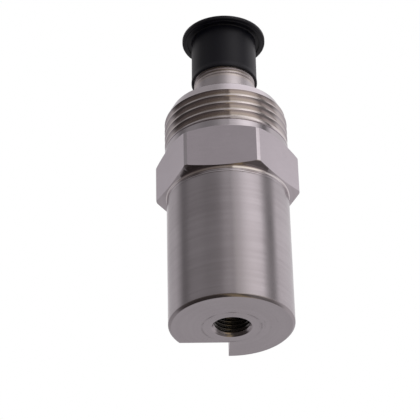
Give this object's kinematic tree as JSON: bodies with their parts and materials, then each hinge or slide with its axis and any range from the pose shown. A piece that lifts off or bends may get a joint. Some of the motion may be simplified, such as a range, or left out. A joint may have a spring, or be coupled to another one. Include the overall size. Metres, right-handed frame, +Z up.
{
  "type": "vibration sensor",
  "caption": "Stainless steel vibration sensor with a wrench hexagon, a threaded collar, a threaded mounting hole in its flat base and a capped two-pin connector.",
  "frame": {"origin": "centre of the flat mounting face, on the sensor's axis, at the mouth of the mounting hole", "axes": "+Z up the sensor's axis from the mounting face to the connector; two wrench flats are square to Y; the milled step in the mounting face is on the -X, +Y side"},
  "size_m": [0.0364, 0.032, 0.0873],
  "materials": {
    "case_steel": "fine turned stainless steel",
    "header_steel": "turned and milled stainless steel",
    "connector_steel": "smooth turned stainless steel",
    "inner_steel": "machined steel",
    "pin_metal": "gold plated contact",
    "contact_brass": "thin rolled strip",
    "cap_vinyl": "satin moulded soft vinyl",
    "seal_glass": "fused sealing glass",
    "crystal_ceramic": "ground piezoelectric ceramic",
    "white_ceramic": "ground alumina",
    "insulator_plastic": "machined insulator",
    "board_laminate": "glass-epoxy board with solder mask",
    "component_resin": "moulded resin",
    "wire_jacket": "extruded fluoropolymer"
  },
  "bodies": {
    "root": {"case": "case_steel", "hex_header": "header_steel", "connector_shell": "connector_steel", "glass_seal": "seal_glass", "contact_pin_a": "pin_metal", "contact_pin_b": "pin_metal", "dust_cap": "cap_vinyl", "isolator_disc": "white_ceramic", "sensing_base": "inner_steel", "post_sleeve": "insulator_plastic", "ground_contact": "contact_brass", "crystal_lower": "crystal_ceramic", "signal_contact": "contact_brass", "crystal_upper": "crystal_ceramic", "insulating_washer": "white_ceramic", "seismic_mass": "inner_steel", "spring_washer": "inner_steel", "preload_nut": "inner_steel", "shield_can": "inner_steel", "board_spacer": "insulator_plastic", "circuit_board": "board_laminate", "amplifier_can": "inner_steel", "capacitor_a": "component_resin", "capacitor_b": "component_resin", "resistor_a": "component_resin", "resistor_b": "component_resin", "resistor_c": "component_resin", "signal_wire": "wire_jacket", "pin_wire_a": "wire_jacket", "pin_wire_b": "wire_jacket"}
  },
  "joints": []
}
